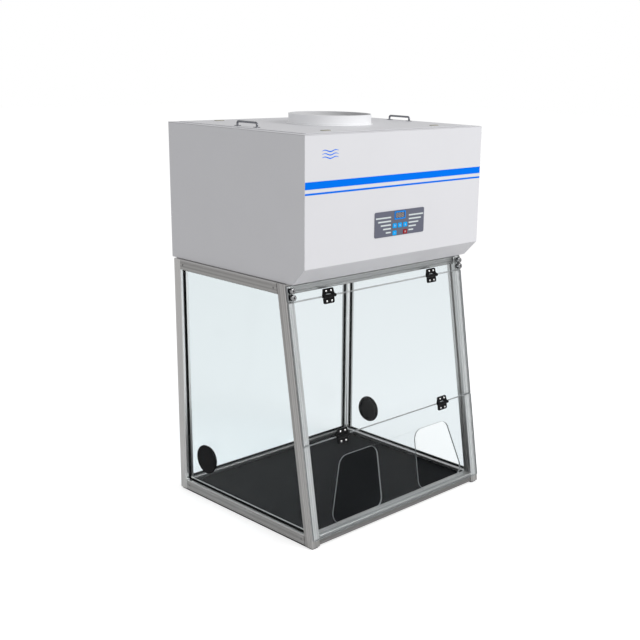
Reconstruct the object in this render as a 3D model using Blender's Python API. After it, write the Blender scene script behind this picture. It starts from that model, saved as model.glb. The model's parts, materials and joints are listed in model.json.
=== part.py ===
"""A bench-top ducted fume hood: an aluminium frame with clear panels and a folding front,
carrying a sheet-metal cabinet with a fan, a lamp and a duct collar.

Metres, +Z up, the front faces -Y.  The origin is on the bench, under the middle of the hood.
"""
from math import cos, pi, radians, sin, tan

import bmesh
import bpy
from mathutils import Matrix, Vector
from mathutils.geometry import tessellate_polygon

# ---- driving dimensions ------------------------------------------------------------------
GAP = 0.0003                     # between pieces that touch
LEAN = radians(9.1)              # the front leans back from the vertical

PROFILE = 0.030                  # square aluminium profile
SLOT = 0.008                     # its slot: width
SLOT_DEPTH = 0.0085
FOOT = 0.004                     # rubber feet under the frame
FRAME_WIDTH = 0.716
FRAME_TOP = 0.7212
REAR_STEP = 0.019                # the frame stands this far in from the cabinet's rear

SHEET = 0.005                    # clear panels
PANEL_REACH = 0.007              # how far a panel enters a slot

REST_GAP = 0.0005                # between the closed front and the posts
SASH_HALF = 0.353                # half width of the front sheets
FLAP_FOOT = 0.0243               # along the slope, from the bench: the flap's lower edge,
FLAP_LINE = 0.2891               # the flap hinge,
WINDOW_LINE = 0.6803             # the window hinge
STRIP_TOP = 0.7250               # and the fixed strip's upper edge
SASH_SPLIT = 0.0005              # half of the split between two front sheets

HINGE_X = 0.211                  # hinges, from the middle
HINGE_WIDTH = 0.040
HINGE_LEAF = 0.021               # from the pin to the end of a leaf
LEAF_THICK = 0.0035
PIN_OUT = 0.011                  # pin axis, in front of the posts
KNUCKLE = 0.005                  # its outer radius
PIN_RADIUS = 0.0015
PIN_BORE = 0.00158

CABINET_HALF = 0.350
CABINET_DEPTH = 0.577
CABINET_BOTTOM = 0.7226
CABINET_TOP = 1.1098
CHAMFER = 0.046                  # the cover's sloping lower front
METAL = 0.0015
COVER_RETURN = 0.020             # its lower edge folded back under the cabinet
FOLD = 0.003                     # radius of the cabinet's folds
LID_INSET = 0.022
INLET_HOLE = 0.112               # air hole in the cabinet's floor
INLET_SIZE = (0.0275, 0.0200)    # power inlet
INLET_AT = (-0.280, 0.800)
INLET_PROUD = 0.002              # its rim behind the cabinet

FAN_BACK = 0.298                 # fan and duct axis, forward of the cabinet's rear
COLLAR_RADIUS = 0.119
COLLAR_HEIGHT = 0.0305
IMPELLER_RADIUS = 0.140
EYE_RADIUS = 0.100
ROTOR_RADIUS = 0.052
SHAFT_RADIUS = 0.005
SHAFT_BORE = 0.00508

PORT_X = FRAME_WIDTH / 2 - PROFILE / 2
PORT_BACK = 0.139                # cable ports, forward of the cabinet's rear
PORT_HEIGHT = 0.124
PORT_RADIUS = 0.040

OVERLAY = (0.200, 0.070)         # control panel
OVERLAY_CENTRE = (0.004, 0.859)
OVERLAY_THICK = 0.0012
KEY_SIZE = (0.0160, 0.0130)
KEY_PROUD = 0.0009
KEY_BACK = -0.002                # a key's rear face, behind the cover's front
DISPLAY_SIZE = (0.045, 0.023)
DISPLAY_AT = (0.0, 0.021)
KEYS = (("key_power", -0.021, -0.007), ("key_fan_up", 0.0, -0.007), ("key_lamp", 0.022, -0.007),
        ("key_fan_down", -0.021, -0.027), ("key_stop", 0.022, -0.027))

# ---- places worked out from them ----------------------------------------------------------
FOOTPRINT = 0.6208               # from the cabinet's rear to where the sloping front meets the bench
FRONT_REACH = FOOTPRINT - FLAP_FOOT * sin(LEAN) + (REST_GAP + SHEET) * cos(LEAN)
REAR = (FRONT_REACH - INLET_PROUD) / 2
FRONT_LINE = REAR - FOOTPRINT
FRONT = REAR - CABINET_DEPTH
FAN_Y = REAR - FAN_BACK
FRAME_HALF = FRAME_WIDTH / 2
RAIL_HALF = FRAME_HALF - PROFILE - GAP
REAR_POST_FACE = REAR - REAR_STEP - PROFILE
BOTTOM_RAIL_TOP = FOOT + PROFILE
TOP_RAIL_BOTTOM = FRAME_TOP - PROFILE
INNER_TOP = CABINET_TOP - METAL
FLOOR_TOP = CABINET_BOTTOM + METAL
LID_TOP = CABINET_TOP + GAP + METAL
EYE_TOP = FLOOR_TOP + GAP + 0.022    # the inlet ring's throat
WHEEL_FOOT = EYE_TOP - 0.006
WHEEL_TOP = WHEEL_FOOT + 0.072
BRIDGE_TOP = WHEEL_TOP + 0.034       # the bridge that the motor hangs under

COLORS = {
    "aluminium": (0.62, 0.62, 0.60, 0.42, 1.0),
    "clear": (0.86, 0.93, 0.94, 0.05, 0.0),
    "rubber": (0.02, 0.02, 0.022, 0.7, 0.0),
    "slate": (0.035, 0.038, 0.045, 0.45, 0.0),
    "paint": (0.78, 0.78, 0.80, 0.4, 0.0),
    "steel": (0.55, 0.56, 0.58, 0.35, 1.0),
    "chrome": (0.85, 0.85, 0.86, 0.1, 1.0),
    "black_plastic": (0.02, 0.02, 0.023, 0.35, 0.0),
    "blue": (0.01, 0.17, 0.80, 0.4, 0.0),
    "panel_grey": (0.14, 0.15, 0.19, 0.45, 0.0),
    "key_blue": (0.01, 0.35, 0.85, 0.35, 0.0),
    "key_red": (0.55, 0.01, 0.03, 0.35, 0.0),
    "board": (0.02, 0.16, 0.07, 0.5, 0.0),
    "diffuser": (0.90, 0.92, 0.95, 0.3, 0.0),
}


# ---- tools ----------------------------------------------------------------------------------
def material(kind):
    """The Principled material of one kind of stuff, made the first time it is asked for."""
    found = bpy.data.materials.get(kind)
    if found:
        return found
    red, green, blue, roughness, metallic = COLORS[kind]
    made = bpy.data.materials.new(kind)
    made.use_nodes = True
    shader = made.node_tree.nodes["Principled BSDF"]
    shader.inputs["Base Color"].default_value = (red, green, blue, 1)
    shader.inputs["Roughness"].default_value = roughness
    shader.inputs["Metallic"].default_value = metallic
    if kind == "clear":
        shader.inputs["Alpha"].default_value = 0.3
    return made


def piece(name, bm, kind, parent=None, location=(0, 0, 0), rotation=(0, 0, 0)):
    """Turn a bmesh into a named object, shaded smooth with its sharp edges kept."""
    bmesh.ops.recalc_face_normals(bm, faces=bm.faces)
    mesh = bpy.data.meshes.new(name)
    bm.to_mesh(mesh)
    bm.free()
    mesh.shade_smooth()
    mesh.set_sharp_from_angle(angle=radians(32))
    made = bpy.data.objects.new(name, mesh)
    made.data.materials.append(material(kind))
    made.parent = parent
    made.location = location
    made.rotation_euler = rotation
    bpy.context.collection.objects.link(made)
    return made


def empty(name, parent=None, location=(0, 0, 0), rotation=(0, 0, 0)):
    made = bpy.data.objects.new(name, None)
    made.parent = parent
    made.location = location
    made.rotation_euler = rotation
    bpy.context.collection.objects.link(made)
    return made


def at(x=0.0, y=0.0, z=0.0):
    return Matrix.Translation((x, y, z))


def slab(bm, outline, low, high, holes=(), place=Matrix()):
    """A flat plate from height low to high, with holes through it."""
    loops = [outline, *holes]
    rings = []
    for loop in loops:
        rings.append([[bm.verts.new(place @ Vector((x, y, z))) for x, y in loop] for z in (low, high)])
    if holes:
        under = [vert for ring in rings for vert in ring[0]]
        over = [vert for ring in rings for vert in ring[1]]
        flat = [[Vector((x, y, 0)) for x, y in loop] for loop in loops]
        for a, b, c in tessellate_polygon(flat):
            bm.faces.new((under[c], under[b], under[a]))
            bm.faces.new((over[a], over[b], over[c]))
    else:
        bm.faces.new(rings[0][0][::-1])
        bm.faces.new(rings[0][1])
    for under, over in rings:
        for i, vert in enumerate(under):
            bm.faces.new((under[i - 1], vert, over[i], over[i - 1]))


def turned(bm, profile, segments, place=Matrix()):
    """A closed outline of (radius, height) points turned about Z."""
    rings = []
    for radius, height in profile:
        if radius < 1e-6:
            rings.append([bm.verts.new(place @ Vector((0, 0, height)))])
            continue
        angles = [2 * pi * k / segments for k in range(segments)]
        ring = [place @ Vector((radius * cos(a), radius * sin(a), height)) for a in angles]
        rings.append([bm.verts.new(point) for point in ring])
    for i, ring in enumerate(rings):
        before = rings[i - 1]
        if len(before) == 1 and len(ring) == 1:
            continue
        for k in range(segments):
            n = (k + 1) % segments
            corners = [before[k % len(before)], before[n % len(before)],
                       ring[n % len(ring)], ring[k % len(ring)]]
            bm.faces.new(list(dict.fromkeys(corners)))


def loft(bm, rings):
    """Close a solid over a row of rings of equal length."""
    bm.faces.new(rings[0])
    bm.faces.new(rings[-1])
    for before, ring in zip(rings, rings[1:]):
        for k in range(len(ring)):
            bm.faces.new((before[k - 1], before[k], ring[k], ring[k - 1]))


def circle(radius, segments, x=0.0, y=0.0):
    angles = [2 * pi * k / segments for k in range(segments)]
    return [(x + radius * cos(a), y + radius * sin(a)) for a in angles]


def rounded(points, radius, segments=4):
    """Round the corners of a closed outline: every corner, or a radius for each."""
    radii = radius if isinstance(radius, (list, tuple)) else [radius] * len(points)
    result = []
    for i, (corner, r) in enumerate(zip(points, radii)):
        here = Vector(corner)
        if r == 0:
            result.append(tuple(here))
            continue
        back = (Vector(points[i - 1]) - here).normalized()
        ahead = (Vector(points[(i + 1) % len(points)]) - here).normalized()
        half = back.angle(ahead) / 2
        start = here + back * (r / tan(half))
        centre = here + (back + ahead).normalized() * (r / sin(half))
        turn = (start - centre).angle_signed(here + ahead * (r / tan(half)) - centre)
        for k in range(segments + 1):
            arm = (start - centre)
            arm.rotate(Matrix.Rotation(-turn * k / segments, 2))
            result.append(tuple(centre + arm))
    return result


def rectangle(width, height, x=0.0, y=0.0):
    a, b = width / 2, height / 2
    return [(x - a, y - b), (x + a, y - b), (x + a, y + b), (x - a, y + b)]


def offset(points, distance, closed=True):
    """Move each side of an outline outward (right of its direction) by a distance."""
    count = len(points)
    result = []
    for i, point in enumerate(points):
        here = Vector(point)
        sides = []
        if closed or i > 0:
            sides.append((here - Vector(points[i - 1])).normalized())
        if closed or i < count - 1:
            sides.append((Vector(points[(i + 1) % count]) - here).normalized())
        normals = [Vector((side.y, -side.x)) for side in sides]
        middle = sum(normals, Vector((0, 0))).normalized()
        result.append(tuple(here + middle * (distance / middle.dot(normals[0]))))
    return result


def bend(points, radius, segments=3):
    """Round the inner corners of an open path, as a folded sheet has them."""
    radii = [0] + [radius] * (len(points) - 2) + [0]
    return rounded(points, radii, segments)


def folded(points, radius, thickness=METAL):
    """The closed outline of a folded sheet that lies to the right of the path."""
    path = bend(points, radius)
    return path + offset(path, thickness, closed=False)[::-1]


def bar(section, axis, start, end):
    """A bar along an axis; start and end are places, or functions of the section's point."""
    bm = bmesh.new()
    ends = []
    for stop in (start, end):
        ring = []
        for a, b in section:
            t = stop(a, b) if callable(stop) else stop
            point = {"x": (t, a, b), "y": (a, t, b), "z": (a, b, t)}[axis]
            ring.append(bm.verts.new(point))
        ends.append(ring)
    loft(bm, ends)
    return bm


def cut(target, cutter_bm, name):
    """Take a shape out of an object with an exact Boolean."""
    bmesh.ops.recalc_face_normals(cutter_bm, faces=cutter_bm.faces)
    mesh = bpy.data.meshes.new(name)
    cutter_bm.to_mesh(mesh)
    cutter_bm.free()
    cutter = bpy.data.objects.new(name, mesh)
    cutter.parent = target.parent
    cutter.location = target.location
    cutter.rotation_euler = target.rotation_euler
    cutter.hide_render = True
    cutter.display_type = "WIRE"
    bpy.context.collection.objects.link(cutter)
    modifier = target.modifiers.new(name, "BOOLEAN")
    modifier.object = cutter
    modifier.operation = "DIFFERENCE"
    modifier.solver = "EXACT"


def join(target, bm, name):
    """Weld a shape to an object with an exact Boolean."""
    cut(target, bm, name)
    target.modifiers[name].operation = "UNION"


FLAT_X = (pi / 2, 0, pi / 2)     # stands a flat piece up: its x, y, z become Y, Z, X
FLAT_Y = (pi / 2, 0, 0)          # its x, y, z become X, Z, -Y
TO_X = Matrix(((0, 0, 1, 0), (1, 0, 0, 0), (0, 1, 0, 0), (0, 0, 0, 1)))      # the same turns
TO_Y = Matrix(((1, 0, 0, 0), (0, 0, -1, 0), (0, 1, 0, 0), (0, 0, 0, 1)))     # as matrices
FACE = at(0, FRONT) @ TO_Y       # x, z and depth out of the cover's front
SIDES = (("left", -1), ("right", 1))


# ---- frame ------------------------------------------------------------------------------------
def profile_section(slotted, centre=(0.0, 0.0)):
    """Outline of the square profile. Sides 0 to 3 face -b, +a, +b and -a; a slotted side has
    a deep slot, and the others have two fine lines."""
    half, radius, corner_steps = PROFILE / 2, 0.0028, 4
    line_at, line_half, line_depth = 0.0078, 0.0009, 0.0009
    slot = [(-SLOT / 2, 0), (-SLOT / 2, SLOT_DEPTH), (SLOT / 2, SLOT_DEPTH), (SLOT / 2, 0)]
    lines = []
    for middle in (-line_at, line_at):
        lines += [(middle - line_half, 0), (middle, line_depth), (middle + line_half, 0)]
    points = []
    for side in range(4):
        quarter = Matrix.Rotation(side * pi / 2, 2)
        for along, depth in (slot if side in slotted else lines):
            points.append(quarter @ Vector((along, depth - half)))
        for k in range(corner_steps + 1):
            angle = pi / 2 * (k / corner_steps - 1)
            corner = (half - radius + radius * cos(angle), radius * sin(angle) - half + radius)
            points.append(quarter @ Vector(corner))
    return [(point.x + centre[0], point.y + centre[1]) for point in points]


def slope_end(height):
    """Where a point of a leaning post reaches a height, as a distance along the slope."""
    return lambda x, out: (height - out * sin(LEAN)) / cos(LEAN)


def lean_at(depth):
    """Where a plane at a depth behind the sloping front crosses a height."""
    return lambda x, height: FRONT_LINE + height * tan(LEAN) + depth / cos(LEAN)


def frame(slope):
    """Four posts, the front ones leaning, with eight rails between them."""
    for side, sign in SIDES:
        x = sign * (FRAME_HALF - PROFILE / 2)
        inward = 3 if sign > 0 else 1
        section = profile_section((0, inward), (x, REAR - REAR_STEP - PROFILE / 2))
        piece(f"rear_post_{side}", bar(section, "z", FOOT, FRAME_TOP), "aluminium")
        section = profile_section((0, inward), (x, -PROFILE / 2))
        post = bar(section, "y", slope_end(FOOT), slope_end(FRAME_TOP))
        piece(f"front_post_{side}", post, "aluminium", slope)
        for level, z, groove in (("bottom", FOOT, 2), ("top", TOP_RAIL_BOTTOM, 0)):
            section = profile_section((groove, inward), (x, z + PROFILE / 2))
            rail = bar(section, "y", lean_at(PROFILE + GAP), REAR_POST_FACE - GAP)
            made = piece(f"{level}_rail_{side}", rail, "aluminium")
            cut(made, screw_holes(sign, z + PROFILE / 2), f"cutter_{level}_{side}")
    for level, z, groove in (("bottom", FOOT, 2), ("top", TOP_RAIL_BOTTOM, 0)):
        middle = z + PROFILE / 2
        rear = profile_section((groove, 3), (REAR - REAR_STEP - PROFILE / 2, middle))
        piece(f"{level}_rail_rear", bar(rear, "x", -RAIL_HALF, RAIL_HALF), "aluminium")
        face = lean_at(0)(0, z + PROFILE)
        section = profile_section((1,), (face + PROFILE / 2, middle))
        piece(f"{level}_rail_front", bar(section, "x", -RAIL_HALF, RAIL_HALF), "aluminium")


def screw_holes(sign, height):
    """Cutter for a side rail's two set-screw holes, one near each end."""
    inset, radius, depth = 0.014, 0.0029, 0.006
    face = Matrix.Rotation(sign * pi / 2, 4, "Y")
    bm = bmesh.new()
    for y in (lean_at(PROFILE)(0, height) + inset, REAR_POST_FACE - inset):
        spot = at(sign * FRAME_HALF, y, height) @ face
        turned(bm, [(0, -depth), (radius, -depth), (radius, depth), (0, depth)], 12, spot)
    return bm


def foot_strips():
    """Rubber strips that the side rails stand on."""
    width, end, corner = 0.024, 0.004, 0.004
    front, rear = lean_at(0)(0, 0) + end, REAR - REAR_STEP - end
    for side, sign in SIDES:
        bm = bmesh.new()
        x = sign * (FRAME_HALF - PROFILE / 2)
        outline = rounded(rectangle(width, rear - front, x, (front + rear) / 2), corner, 3)
        slab(bm, outline, 0, FOOT - GAP)
        piece(f"foot_strip_{side}", bm, "rubber")


def base_plate():
    """Work surface held in the bottom rails' inner slots, notched round the posts."""
    thick, clear = 0.006, 0.001
    low = FOOT + (PROFILE - thick) / 2
    edge = FRAME_HALF - PROFILE + PANEL_REACH
    inner = FRAME_HALF - PROFILE - clear
    front_rail = lean_at(0)(0, BOTTOM_RAIL_TOP) + PROFILE
    front, front_in = front_rail - PANEL_REACH, front_rail + 0.003
    rear, rear_in = REAR_POST_FACE + PANEL_REACH, REAR_POST_FACE - clear
    outline = [(-inner, front), (inner, front), (inner, front_in), (edge, front_in),
               (edge, rear_in), (inner, rear_in), (inner, rear), (-inner, rear),
               (-inner, rear_in), (-edge, rear_in), (-edge, front_in), (-inner, front_in)]
    bm = bmesh.new()
    slab(bm, outline, low, low + thick)
    piece("work_surface", bm, "slate")


# ---- fixed panels ------------------------------------------------------------------------------
def gasket(name, opening, location, rotation):
    """A U-shaped rubber edging round a panel, its lips proud of the profiles.  opening is the
    outline between the profiles."""
    lip, web, half, wall = 0.0034, 0.0082, 0.0037, 0.0009
    inner = PANEL_REACH + GAP
    section = [(-lip, -half), (web, -half), (web, half), (-lip, half),
               (-lip, half - wall), (inner, half - wall), (inner, wall - half), (-lip, wall - half)]
    bm = bmesh.new()
    rings = []
    for distance, height in section:
        corners = offset(opening, distance)
        rings.append([bm.verts.new((x, y, height)) for x, y in corners])
    for i, ring in enumerate(rings):
        for k in range(4):
            n = (k + 1) % 4
            bm.faces.new((rings[i - 1][k], rings[i - 1][n], ring[n], ring[k]))
    piece(name, bm, "rubber", None, location, rotation)


def panels():
    """Side and rear panels in the profiles' slots, with their gaskets and cable ports."""
    front = lean_at(PROFILE)
    side_opening = [(front(0, BOTTOM_RAIL_TOP), BOTTOM_RAIL_TOP), (REAR_POST_FACE, BOTTOM_RAIL_TOP),
                    (REAR_POST_FACE, TOP_RAIL_BOTTOM), (front(0, TOP_RAIL_BOTTOM), TOP_RAIL_BOTTOM)]
    port = circle(PORT_RADIUS, 32, REAR - PORT_BACK, PORT_HEIGHT)
    for side, sign in SIDES:
        bm = bmesh.new()
        slab(bm, offset(side_opening, PANEL_REACH), -SHEET / 2, SHEET / 2, [port])
        piece(f"panel_{side}", bm, "clear", None, (sign * PORT_X, 0, 0), FLAT_X)
        gasket(f"gasket_{side}", side_opening, (sign * PORT_X, 0, 0), FLAT_X)
    half = FRAME_HALF - PROFILE
    rear_opening = [(-half, BOTTOM_RAIL_TOP), (half, BOTTOM_RAIL_TOP),
                    (half, TOP_RAIL_BOTTOM), (-half, TOP_RAIL_BOTTOM)]
    plane = (0, REAR - REAR_STEP - PROFILE / 2, 0)
    bm = bmesh.new()
    slab(bm, offset(rear_opening, PANEL_REACH), -SHEET / 2, SHEET / 2)
    piece("panel_rear", bm, "clear", None, plane, FLAT_Y)
    gasket("gasket_rear", rear_opening, plane, FLAT_Y)


def port_plugs():
    """Rubber plugs that pull out of the side panels' cable ports."""
    flange, barrel, out, through = 0.044, 0.0394, 0.0038, 0.010
    edge = 0.0012
    start = SHEET / 2 + GAP
    profile = [(0, start + out), (flange - edge, start + out), (flange, start + out - edge),
               (flange, start), (barrel, start), (barrel, start - through),
               (barrel - 0.004, start - through), (barrel - 0.004, start - 0.001), (0, start - 0.001)]
    for side, sign in SIDES:
        bm = bmesh.new()
        turned(bm, profile, 28)
        where = (sign * PORT_X, REAR - PORT_BACK, PORT_HEIGHT)
        piece(f"port_plug_{side}", bm, "rubber", None, where, (0, sign * pi / 2, 0))


# ---- front ---------------------------------------------------------------------------------------
def arm_hole(sign, line):
    """An arm hole's outline: upright inner side, outer side leaning outward to the foot."""
    inner, outer_top, outer_foot = 0.080, 0.225, 0.285
    foot, top = 0.0466 - line, 0.2319 - line
    points = [(inner, foot), (outer_foot, foot), (outer_top, top), (inner, top)]
    outline = rounded(points, [0.030, 0.030, 0.034, 0.030], 6)
    return [(sign * x, y) for x, y in outline]


def sash(bm, low, high, holes=()):
    outline = rounded([(-SASH_HALF, low), (SASH_HALF, low), (SASH_HALF, high), (-SASH_HALF, high)],
                      0.003, 3)
    slab(bm, outline, REST_GAP, REST_GAP + SHEET, holes)


def front(slope):
    """Fixed strip, window and flap, hinged to each other, with their hinges."""
    window = empty("window_pivot", slope, (0, WINDOW_LINE, PIN_OUT))
    flap = empty("flap_pivot", window, (0, FLAP_LINE - WINDOW_LINE, 0))

    bm = bmesh.new()
    sash(bm, WINDOW_LINE + SASH_SPLIT, STRIP_TOP)
    piece("upper_strip", bm, "clear", slope)

    bm = bmesh.new()
    sash(bm, FLAP_LINE + SASH_SPLIT - WINDOW_LINE, -SASH_SPLIT)
    piece("window", bm, "clear", window, (0, 0, -PIN_OUT))

    bm = bmesh.new()
    arms = [arm_hole(sign, FLAP_LINE) for sign in (-1, 1)]
    sash(bm, FLAP_FOOT - FLAP_LINE, -SASH_SPLIT, arms)
    piece("flap", bm, "clear", flap, (0, 0, -PIN_OUT))

    for side, sign in SIDES:
        x = sign * HINGE_X
        hinge_leaf(f"strip_leaf_{side}", window, x, 1)
        hinge_leaf(f"window_leaf_{side}", window, x, -1)
        hinge_leaf(f"window_foot_leaf_{side}", flap, x, 1)
        hinge_leaf(f"flap_leaf_{side}", flap, x, -1)


def leaf_outline(ends):
    """A hinge leaf from the side, in (distance from the pin along the slope, out)."""
    under = SHEET + REST_GAP + GAP - PIN_OUT
    over = under + LEAF_THICK
    arc = []
    steps = 8
    first, last = radians(-90), radians(150)
    for k in range(steps + 1):
        angle = first + (last - first) * k / steps
        arc.append((-KNUCKLE * cos(angle), KNUCKLE * sin(angle)))
    outline = [(HINGE_LEAF, under), (HINGE_LEAF, over - 0.001), (HINGE_LEAF - 0.001, over),
               (KNUCKLE * cos(radians(30)), over)]
    outline = outline + arc[::-1]
    return [(ends * along, out) for along, out in outline]


def hinge_leaf(name, pivot, x, ends):
    """A leaf above its hinge line (ends is 1) has the outer knuckles and carries the pin; one
    below it (ends is -1) has the middle knuckle, bored for the pin."""
    half, split, deep = HINGE_WIDTH / 2, HINGE_WIDTH * 0.22, 0.008
    reach = KNUCKLE + 0.0004
    bore = [] if ends > 0 else [circle(PIN_BORE, 12)]
    bm = bmesh.new()
    slab(bm, leaf_outline(ends), -half, half, bore, TO_X)
    leaf = piece(name, bm, "black_plastic", pivot, (x, 0, 0))
    bm = bmesh.new()
    far = half + 0.001
    spans = [(-split, split)] if ends > 0 else [(-far, GAP - split), (split - GAP, far)]
    for low, high in spans:
        slab(bm, rectangle(high - low, reach + deep, (low + high) / 2, ends * (reach - deep) / 2),
             -deep, deep)
    cut(leaf, bm, f"cutter_{name}")
    if ends > 0:
        bm = bmesh.new()
        stub = split + 0.002
        profile = [(0, -stub), (PIN_RADIUS, -stub), (PIN_RADIUS, stub), (0, stub)]
        turned(bm, profile, 12, TO_X)
        join(leaf, bm, f"pin_{name}")


# ---- cabinet ---------------------------------------------------------------------------------------
def cabinet():
    """Folded shell, front cover, roof, lid and floor."""
    half, top = CABINET_HALF, INNER_TOP - GAP
    inside = METAL + GAP
    return_edge = FRONT + CHAMFER + COVER_RETURN
    path = [(-half, FRONT + inside), (-half, REAR), (half, REAR), (half, FRONT + inside)]
    bm = bmesh.new()
    slab(bm, folded(path, FOLD), CABINET_BOTTOM, top)
    low_corner = Vector((0, FRONT + CHAMFER, CABINET_BOTTOM))
    slant = Vector((0, -1, -1)).normalized()
    geometry = bm.verts[:] + bm.edges[:] + bm.faces[:]
    bmesh.ops.bisect_plane(bm, geom=geometry, plane_co=low_corner - slant * inside, plane_no=slant,
                           clear_outer=True)
    bmesh.ops.holes_fill(bm, edges=[edge for edge in bm.edges if edge.is_boundary], sides=0)
    shell = piece("cabinet_shell", bm, "paint")
    bm = bmesh.new()
    width, height = INLET_SIZE
    slab(bm, rectangle(width + 2 * GAP, height + 2 * GAP, *INLET_AT), -0.01, 0.01,
         (), at(0, REAR) @ TO_Y)
    under, over, back = CABINET_BOTTOM - inside, CABINET_BOTTOM + inside, return_edge + GAP
    notch = [(FRONT, under), (back, under), (back, over), (FRONT, over)]
    slab(bm, notch, -half - inside, half + inside, (), TO_X)
    cut(shell, bm, "cutter_shell")

    path = [(return_edge, CABINET_BOTTOM), (FRONT + CHAMFER, CABINET_BOTTOM),
            (FRONT, CABINET_BOTTOM + CHAMFER), (FRONT, top)]
    outline = folded(path, FOLD)
    cover = piece("front_cover", bar(outline, "x", -half, half), "paint")
    bm = bmesh.new()
    x, z = OVERLAY_CENTRE
    keys_cut, display_cut, deep = (0.070, 0.036, x, z - 0.017), (0.048, 0.020, x, z + 0.023), 0.01
    for opening in (keys_cut, display_cut):
        slab(bm, rectangle(*opening), -deep, deep, (), FACE)
    cut(cover, bm, "cutter_controls")

    middle = (FRONT + REAR) / 2
    bm = bmesh.new()
    lid_size = (2 * (half - LID_INSET), CABINET_DEPTH - 2 * LID_INSET)
    seat = 0.015
    hole = rounded(rectangle(lid_size[0] - 2 * seat, lid_size[1] - 2 * seat, 0, middle), 0.02, 4)
    roof = rounded(rectangle(2 * half, CABINET_DEPTH, 0, middle), 0.003, 3)
    slab(bm, roof, INNER_TOP, CABINET_TOP, [hole])
    piece("roof_panel", bm, "paint")
    bm = bmesh.new()
    lid = rounded(rectangle(*lid_size, 0, middle), 0.004, 3)
    slab(bm, lid, CABINET_TOP + GAP, LID_TOP, [circle(COLLAR_RADIUS - METAL, 48, 0, FAN_Y)])
    piece("service_lid", bm, "paint")

    bm = bmesh.new()
    side, rear, corner = half - inside, REAR - inside, FOLD / 2
    front = return_edge + GAP
    outline = [(-side, front), (side, front), (side, rear - corner), (side - corner, rear),
               (corner - side, rear), (-side, rear - corner)]
    slab(bm, outline, CABINET_BOTTOM, FLOOR_TOP, [circle(INLET_HOLE, 40, 0, FAN_Y)])
    piece("cabinet_floor", bm, "paint")

    bm = bmesh.new()
    inset, wide = 0.0015, 0.014
    front, rear = lean_at(0)(0, FRAME_TOP) + inset, REAR - REAR_STEP - inset
    ring = rectangle(2 * FRAME_HALF - 0.019, rear - front, 0, (rear + front) / 2)
    slab(bm, ring, FRAME_TOP + GAP, CABINET_BOTTOM - GAP, [offset(ring, -wide)])
    piece("cabinet_seal", bm, "rubber")


def duct_collar():
    """Spigot with a base flange and a rolled top edge."""
    outer, inner = COLLAR_RADIUS, COLLAR_RADIUS - METAL
    foot, rim = LID_TOP + GAP, CABINET_TOP + COLLAR_HEIGHT
    profile = [(outer + 0.005, foot), (outer + 0.005, foot + 0.0012), (outer + 0.001, foot + 0.0018),
               (outer, foot + 0.003), (outer, rim - 0.0008), (outer - 0.0005, rim),
               (inner, rim), (inner, foot)]
    bm = bmesh.new()
    turned(bm, profile, 48, at(0, FAN_Y))
    piece("duct_collar", bm, "paint")


def lid_handles():
    """Two bow handles: a bar along the depth on two feet."""
    x, middle, half, tall, wire = 0.300, REAR - 0.292, 0.041, 0.012, 0.003
    foot = LID_TOP + GAP
    path = bend([(-half, 0), (-half, tall), (half, tall), (half, 0)], 0.005, 4)
    outline = offset(path, wire, closed=False) + offset(path, -wire, closed=False)[::-1]
    for side, sign in SIDES:
        bm = bmesh.new()
        slab(bm, outline, -wire, wire)
        piece(f"lid_handle_{side}", bm, "chrome", None, (sign * x, middle, foot), FLAT_X)


# ---- controls -----------------------------------------------------------------------------------------
def controls():
    """Overlay with its window and keys, and the board behind the cover."""
    x, z = OVERLAY_CENTRE
    cuts = [rounded(rectangle(KEY_SIZE[0] + 0.0006, KEY_SIZE[1] + 0.0006, x + a, z + b), 0.0022, 3)
            for _, a, b in KEYS]
    display = rectangle(*DISPLAY_SIZE, x + DISPLAY_AT[0], z + DISPLAY_AT[1])
    cuts.append(rounded(offset(display, GAP), 0.002, 3))
    outline = rounded(rectangle(*OVERLAY, x, z), 0.005, 4)
    back = GAP
    bm = bmesh.new()
    slab(bm, outline, back, back + OVERLAY_THICK, cuts, FACE)
    piece("control_overlay", bm, "panel_grey")
    bm = bmesh.new()
    slab(bm, rounded(display, 0.0018, 3), back, back + OVERLAY_THICK + 0.0002, (), FACE)
    piece("display_window", bm, "black_plastic")
    for name, a, b in KEYS:
        bm = bmesh.new()
        crown = OVERLAY_THICK + back + KEY_PROUD
        body = rounded(rectangle(*KEY_SIZE), 0.002, 3)
        slab(bm, body, KEY_BACK, crown)
        colour = "key_red" if name == "key_stop" else "key_blue"
        made = piece(name, bm, colour, None, (x + a, FRONT, z + b), FLAT_Y)
        bevel = made.modifiers.new("edge", "BEVEL")
        bevel.width = 0.0004
        bevel.segments = 1
        bevel.limit_method = "ANGLE"
        bevel.angle_limit = radians(60)

    bm = bmesh.new()
    front, thick = -0.0075, 0.0016
    slab(bm, rectangle(0.150, 0.066, x, z - 0.002), front - thick, front, (), FACE)
    board = piece("control_board", bm, "board")
    low, high = front - thick / 2, KEY_BACK - KEY_PROUD
    switches = bmesh.new()
    for _, a, b in KEYS:
        turned(switches, [(0, low), (0.003, low), (0.003, front + 0.002), (0.0016, front + 0.002),
                          (0.0016, high), (0, high)], 12, FACE @ at(x + a, z + b))
    join(board, switches, "switches")


# ---- inside the cabinet -----------------------------------------------------------------------------
def inlet_ring():
    """Flared throat that guides air from the floor into the wheel's eye."""
    bm = bmesh.new()
    foot = FLOOR_TOP + GAP
    flange, throat, skin = 0.128, EYE_RADIUS - 0.006, 0.0015
    outer = []
    inner = []
    flare, steps = 0.014, 3
    for k in range(steps + 1):
        angle = pi / 2 * k / steps
        outer.append((throat + skin + flare * (1 - sin(angle)), foot + skin + flare * (1 - cos(angle))))
        inner.append((throat + (flare + skin) * (1 - sin(angle)), foot + (flare + skin) * (1 - cos(angle))))
    profile = [(flange, foot), (flange, foot + skin)] + outer + [(throat + skin, EYE_TOP), (throat, EYE_TOP)]
    turned(bm, profile + inner[::-1], 30, at(0, FAN_Y))
    piece("inlet_ring", bm, "steel")


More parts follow.
